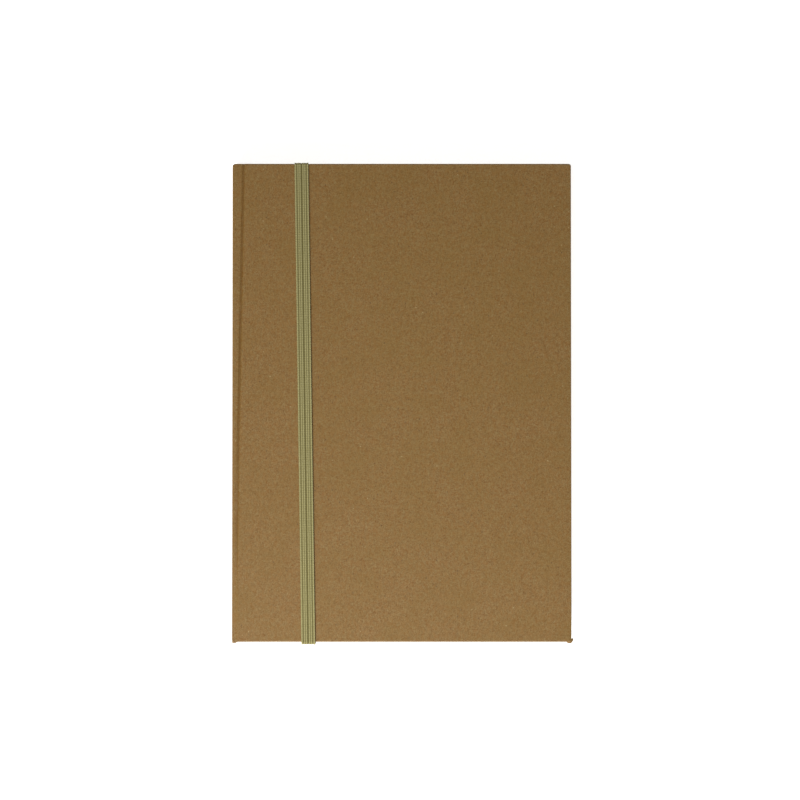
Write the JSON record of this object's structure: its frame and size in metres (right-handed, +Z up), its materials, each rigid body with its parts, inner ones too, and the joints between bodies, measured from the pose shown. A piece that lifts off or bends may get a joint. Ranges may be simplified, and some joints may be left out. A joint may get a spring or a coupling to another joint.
{
  "type": "pocket notebook",
  "caption": "Small hard-cover notebook wrapped in kraft paper, with hinged covers, turning leaves and a flat elastic closure.",
  "frame": {"origin": "centre of the footprint, on the outer face of the back cover, which the notebook lies on", "axes": "+X from the spine to the fore-edge, +Y to the head of the page, +Z up through the front cover"},
  "size_m": [0.1084, 0.1548, 0.0145],
  "materials": {
    "kraft_cover": "matte kraft paper with fine fibres",
    "grey_board": "matte",
    "end_paper": "matte",
    "leaf_paper": "matte",
    "gauze": "open cotton weave",
    "thread": "waxed linen",
    "elastic": "ribbed knit"
  },
  "bodies": {
    "book_block": {"spine_board": "grey_board", "spine_paper": "kraft_cover", "spine_lining": "grey_board", "mull": "gauze", "sewing_thread": "thread", "section_1_bound_edge": "leaf_paper", "section_2": "leaf_paper", "section_3": "leaf_paper", "section_4": "leaf_paper", "section_5": "leaf_paper", "section_6": "leaf_paper", "back_flyleaf": "end_paper"},
    "front_cover": {"front_cover_paper": "kraft_cover", "front_board": "grey_board", "front_pastedown": "end_paper"},
    "back_cover": {"back_cover_paper": "kraft_cover", "back_board": "grey_board", "back_pastedown": "end_paper", "elastic_end_head": "elastic", "elastic_end_tail": "elastic"},
    "front_flyleaf": {"front_flyleaf": "end_paper"},
    "leaf_group_1": {"leaf_group_1": "leaf_paper"},
    "leaf_group_2": {"leaf_group_2": "leaf_paper"},
    "leaf_group_3": {"leaf_group_3": "leaf_paper"},
    "elastic": {"elastic_band": "elastic"}
  },
  "joints": [
    {"name": "front_cover_hinge", "type": "hinge", "parent": "book_block", "child": "front_cover", "pos_m": [-0.05185, 0, 0.0136], "axis": [0, -1, 0], "range_deg": [0, 186]},
    {"name": "back_cover_hinge", "type": "hinge", "parent": "book_block", "child": "back_cover", "pos_m": [-0.0544, 0, 0.001], "axis": [0, 1, 0], "range_deg": [0, 180]},
    {"name": "front_flyleaf_turn", "type": "hinge", "parent": "book_block", "child": "front_flyleaf", "pos_m": [-0.04735, 0, 0.01123], "axis": [0, -1, 0], "range_deg": [0, 135.3]},
    {"name": "leaf_group_1_turn", "type": "hinge", "parent": "book_block", "child": "leaf_group_1", "pos_m": [-0.04735, 0, 0.01093], "axis": [0, -1, 0], "range_deg": [0, 99.1]},
    {"name": "leaf_group_2_turn", "type": "hinge", "parent": "book_block", "child": "leaf_group_2", "pos_m": [-0.04735, 0, 0.01052], "axis": [0, -1, 0], "range_deg": [0, 64.7]},
    {"name": "leaf_group_3_turn", "type": "hinge", "parent": "book_block", "child": "leaf_group_3", "pos_m": [-0.04735, 0, 0.01013], "axis": [0, -1, 0], "range_deg": [0, 33]},
    {"name": "elastic_slip", "type": "slide", "parent": "back_cover", "child": "elastic", "axis": [0, 0, 1], "range_m": [-0.0147, 0], "deforming": ["elastic_band"]}
  ],
  "couplings": [
    {"joint": "front_flyleaf_turn", "follows": "front_cover_hinge", "ratio": 0.725},
    {"joint": "leaf_group_1_turn", "follows": "front_cover_hinge", "ratio": 0.53},
    {"joint": "leaf_group_2_turn", "follows": "front_cover_hinge", "ratio": 0.345},
    {"joint": "leaf_group_3_turn", "follows": "front_cover_hinge", "ratio": 0.175},
    {"joint": "elastic_slip", "follows": "front_cover_hinge", "m_per_rad": -0.004497}
  ]
}
